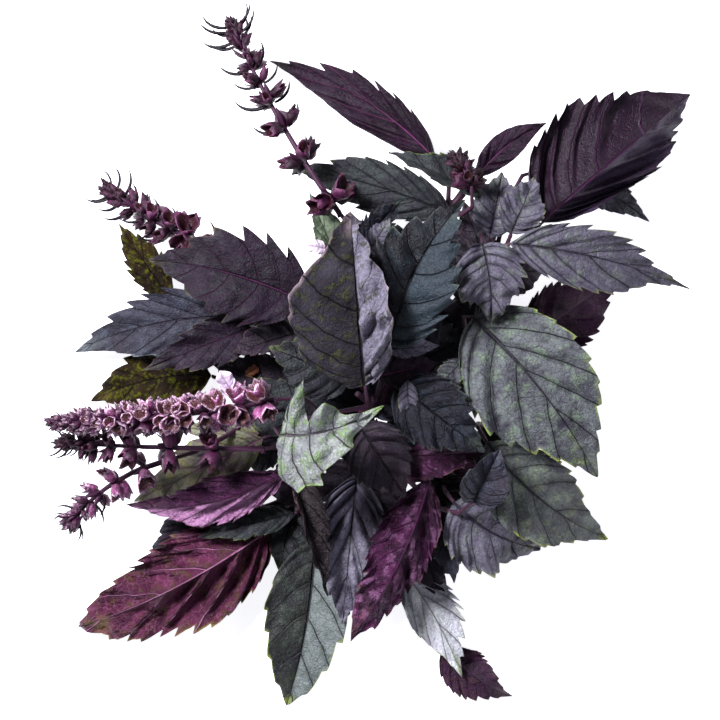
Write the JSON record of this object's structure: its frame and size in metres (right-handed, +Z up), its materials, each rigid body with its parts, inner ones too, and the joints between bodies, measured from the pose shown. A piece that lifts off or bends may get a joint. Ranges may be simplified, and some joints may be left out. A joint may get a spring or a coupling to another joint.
{
  "type": "persian basil bunch",
  "caption": "A cut bunch of Persian basil lying on a table: toothed leaves in dark green, purple and magenta, and spikes of purple-pink flower whorls, on gathered purple stems.",
  "frame": {"origin": "bottom centre of the bunch's bounding box: the surface it lies on is at Z = 0", "axes": "+Z up from the surface it lies on; the cut ends of the stems point towards +X -Y; the upper flower spike points towards -X +Y"},
  "size_m": [0.2228, 0.24, 0.0774],
  "materials": {
    "leaf_green": "satin, dark grey-green upper side of a leaf, quilted by sunk veins",
    "leaf_purple": "satin, dark brown-purple upper side of a leaf",
    "leaf_magenta": "glossy, dark purple underside of a leaf with raised magenta veins",
    "leaf_olive": "satin, mottled yellow-green leaf",
    "leaf_grey": "satin, grey-green leaf washed with purple",
    "leaf_blue": "satin, blue-black leaf",
    "leaf_pale": "dull, pale grey-green underside of a leaf with magenta veins",
    "stem": "satin, dark purple herb stem with fine hairs",
    "calyx": "hairy, dull purple-pink calyces"
  },
  "bodies": {
    "root": {"sprig_1_leaf_1": "leaf_purple", "sprig_1_leaf_2": "leaf_magenta", "sprig_1_leaf_3": "leaf_green", "sprig_1_leaf_4": "leaf_purple", "sprig_2_leaf_1": "leaf_green", "sprig_2_leaf_2": "leaf_green", "sprig_2_leaf_3": "leaf_grey", "sprig_2_leaf_4": "leaf_magenta", "sprig_2_leaf_5": "leaf_grey", "sprig_3_leaf_1": "leaf_purple", "sprig_3_leaf_2": "leaf_pale", "sprig_3_leaf_3": "leaf_grey", "sprig_3_leaf_4": "leaf_grey", "sprig_4_leaf_1": "leaf_olive", "sprig_4_leaf_2": "leaf_green", "sprig_4_leaf_3": "leaf_magenta", "sprig_4_leaf_4": "leaf_magenta", "sprig_5_leaf_1": "leaf_olive", "sprig_5_leaf_2": "leaf_blue", "sprig_5_leaf_3": "leaf_purple", "sprig_5_leaf_4": "leaf_purple", "sprig_5_leaf_5": "leaf_purple", "sprig_5_leaf_6": "leaf_olive", "sprig_6_leaf_1": "leaf_purple", "sprig_6_leaf_2": "leaf_green", "sprig_6_leaf_3": "leaf_purple", "sprig_6_leaf_4": "leaf_green", "sprig_6_leaf_5": "leaf_blue", "sprig_7_leaf_1": "leaf_purple", "sprig_7_leaf_2": "leaf_purple", "sprig_7_leaf_3": "leaf_magenta", "sprig_7_leaf_4": "leaf_grey", "sprig_7_leaf_5": "leaf_grey", "sprig_7_leaf_6": "leaf_grey", "sprig_7_leaf_7": "leaf_grey", "sprig_8_leaf_1": "leaf_green", "sprig_8_leaf_2": "leaf_purple", "sprig_8_leaf_3": "leaf_green", "sprig_9_leaf_1": "leaf_grey", "sprig_9_leaf_2": "leaf_green", "sprig_9_leaf_3": "leaf_green", "sprig_9_leaf_4": "leaf_green", "sprig_9_leaf_5": "leaf_blue", "sprig_9_leaf_6": "leaf_green", "sprig_9_leaf_7": "leaf_pale", "sprig_4_flower_spike_1": "calyx", "sprig_4_flower_spike_2": "calyx", "sprig_4_flower_spike_3": "calyx", "sprig_5_flower_spike_1": "calyx", "sprig_6_flower_spike_1": "calyx", "sprig_6_flower_spike_2": "calyx", "sprig_1_stem": "stem", "sprig_2_stem": "stem", "sprig_3_stem": "stem", "sprig_4_stem": "stem", "sprig_5_stem": "stem", "sprig_6_stem": "stem", "sprig_7_stem": "stem", "sprig_8_stem": "stem", "sprig_9_stem": "stem"}
  },
  "joints": []
}
